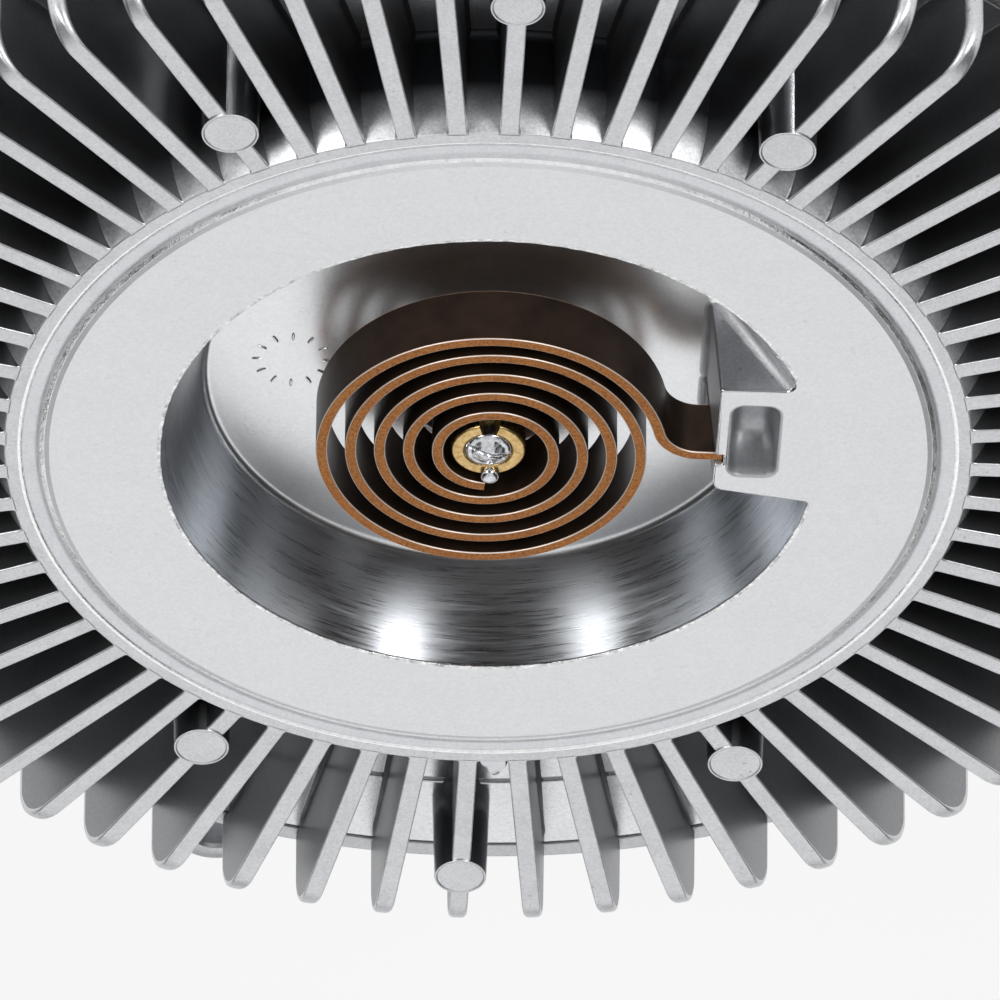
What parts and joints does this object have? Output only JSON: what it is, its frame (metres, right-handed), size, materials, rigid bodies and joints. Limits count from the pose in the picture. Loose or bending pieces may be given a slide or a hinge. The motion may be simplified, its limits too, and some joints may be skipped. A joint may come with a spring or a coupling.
{
  "type": "viscous fan clutch",
  "caption": "Round viscous fan clutch: finned cast cover with a bimetal spiral coil in its recess, ribbed housing with fan lugs, and a hexagon input hub with a threaded bore.",
  "frame": {"origin": "centre of the hub's end face, on the axis of rotation", "axes": "+Z along the axis towards the finned front; +Y through an outer ejector pad; the coil anchor is at -X"},
  "size_m": [0.1796, 0.1796, 0.074],
  "materials": {
    "cast_aluminium": "die cast, satin",
    "housing_aluminium": "die cast, dull",
    "bimetal": "copper coloured edge, dark brown faces",
    "shaft_steel": "bright",
    "collar_brass": "turned",
    "bush_bronze": "sintered",
    "seal_rubber": "matte",
    "sheet_steel": "zinc plated",
    "dark_steel": "blackened",
    "pad_plastic": "moulded",
    "rotor_aluminium": "turned",
    "bearing_steel": "ground",
    "cage_nylon": "moulded",
    "shield_rubber": "moulded"
  },
  "bodies": {
    "input": {"input_shaft": "shaft_steel", "rotor_disc": "rotor_aluminium", "rotor_circlip": "dark_steel", "bearing_inner_race": "bearing_steel"},
    "housing": {"front_cover": "cast_aluminium", "rear_housing": "housing_aluminium", "bimetal_coil": "bimetal", "shaft_bush": "bush_bronze", "shaft_seal": "seal_rubber", "divider_plate": "sheet_steel", "divider_screws": "dark_steel", "pump_pad": "pad_plastic", "cover_seal": "seal_rubber", "bearing_outer_race": "bearing_steel", "bearing_front_shield": "shield_rubber", "bearing_rear_shield": "shield_rubber", "bearing_retainer": "dark_steel"},
    "cage": {"bearing_balls": "bearing_steel", "bearing_cage": "cage_nylon"},
    "valve": {"control_shaft": "shaft_steel", "coil_collar": "collar_brass", "coil_lock_pin": "shaft_steel", "valve_arm": "sheet_steel"}
  },
  "joints": [
    {"name": "housing_spin", "type": "hinge", "parent": "input", "child": "housing", "pos_m": [0, 0, 0.0293], "axis": [0, 0, 1], "continuous": true},
    {"name": "cage_spin", "type": "hinge", "parent": "input", "child": "cage", "pos_m": [0, 0, 0.0293], "axis": [0, 0, 1], "continuous": true},
    {"name": "valve_turn", "type": "hinge", "parent": "housing", "child": "valve", "pos_m": [0, 0, 0.062], "axis": [0, 0, 1], "range_deg": [0, 35], "stiffness_Nm_per_rad": 0.05, "deforming": ["bimetal_coil"]}
  ],
  "couplings": [
    {"joint": "cage_spin", "follows": "housing_spin", "ratio": 0.586}
  ]
}
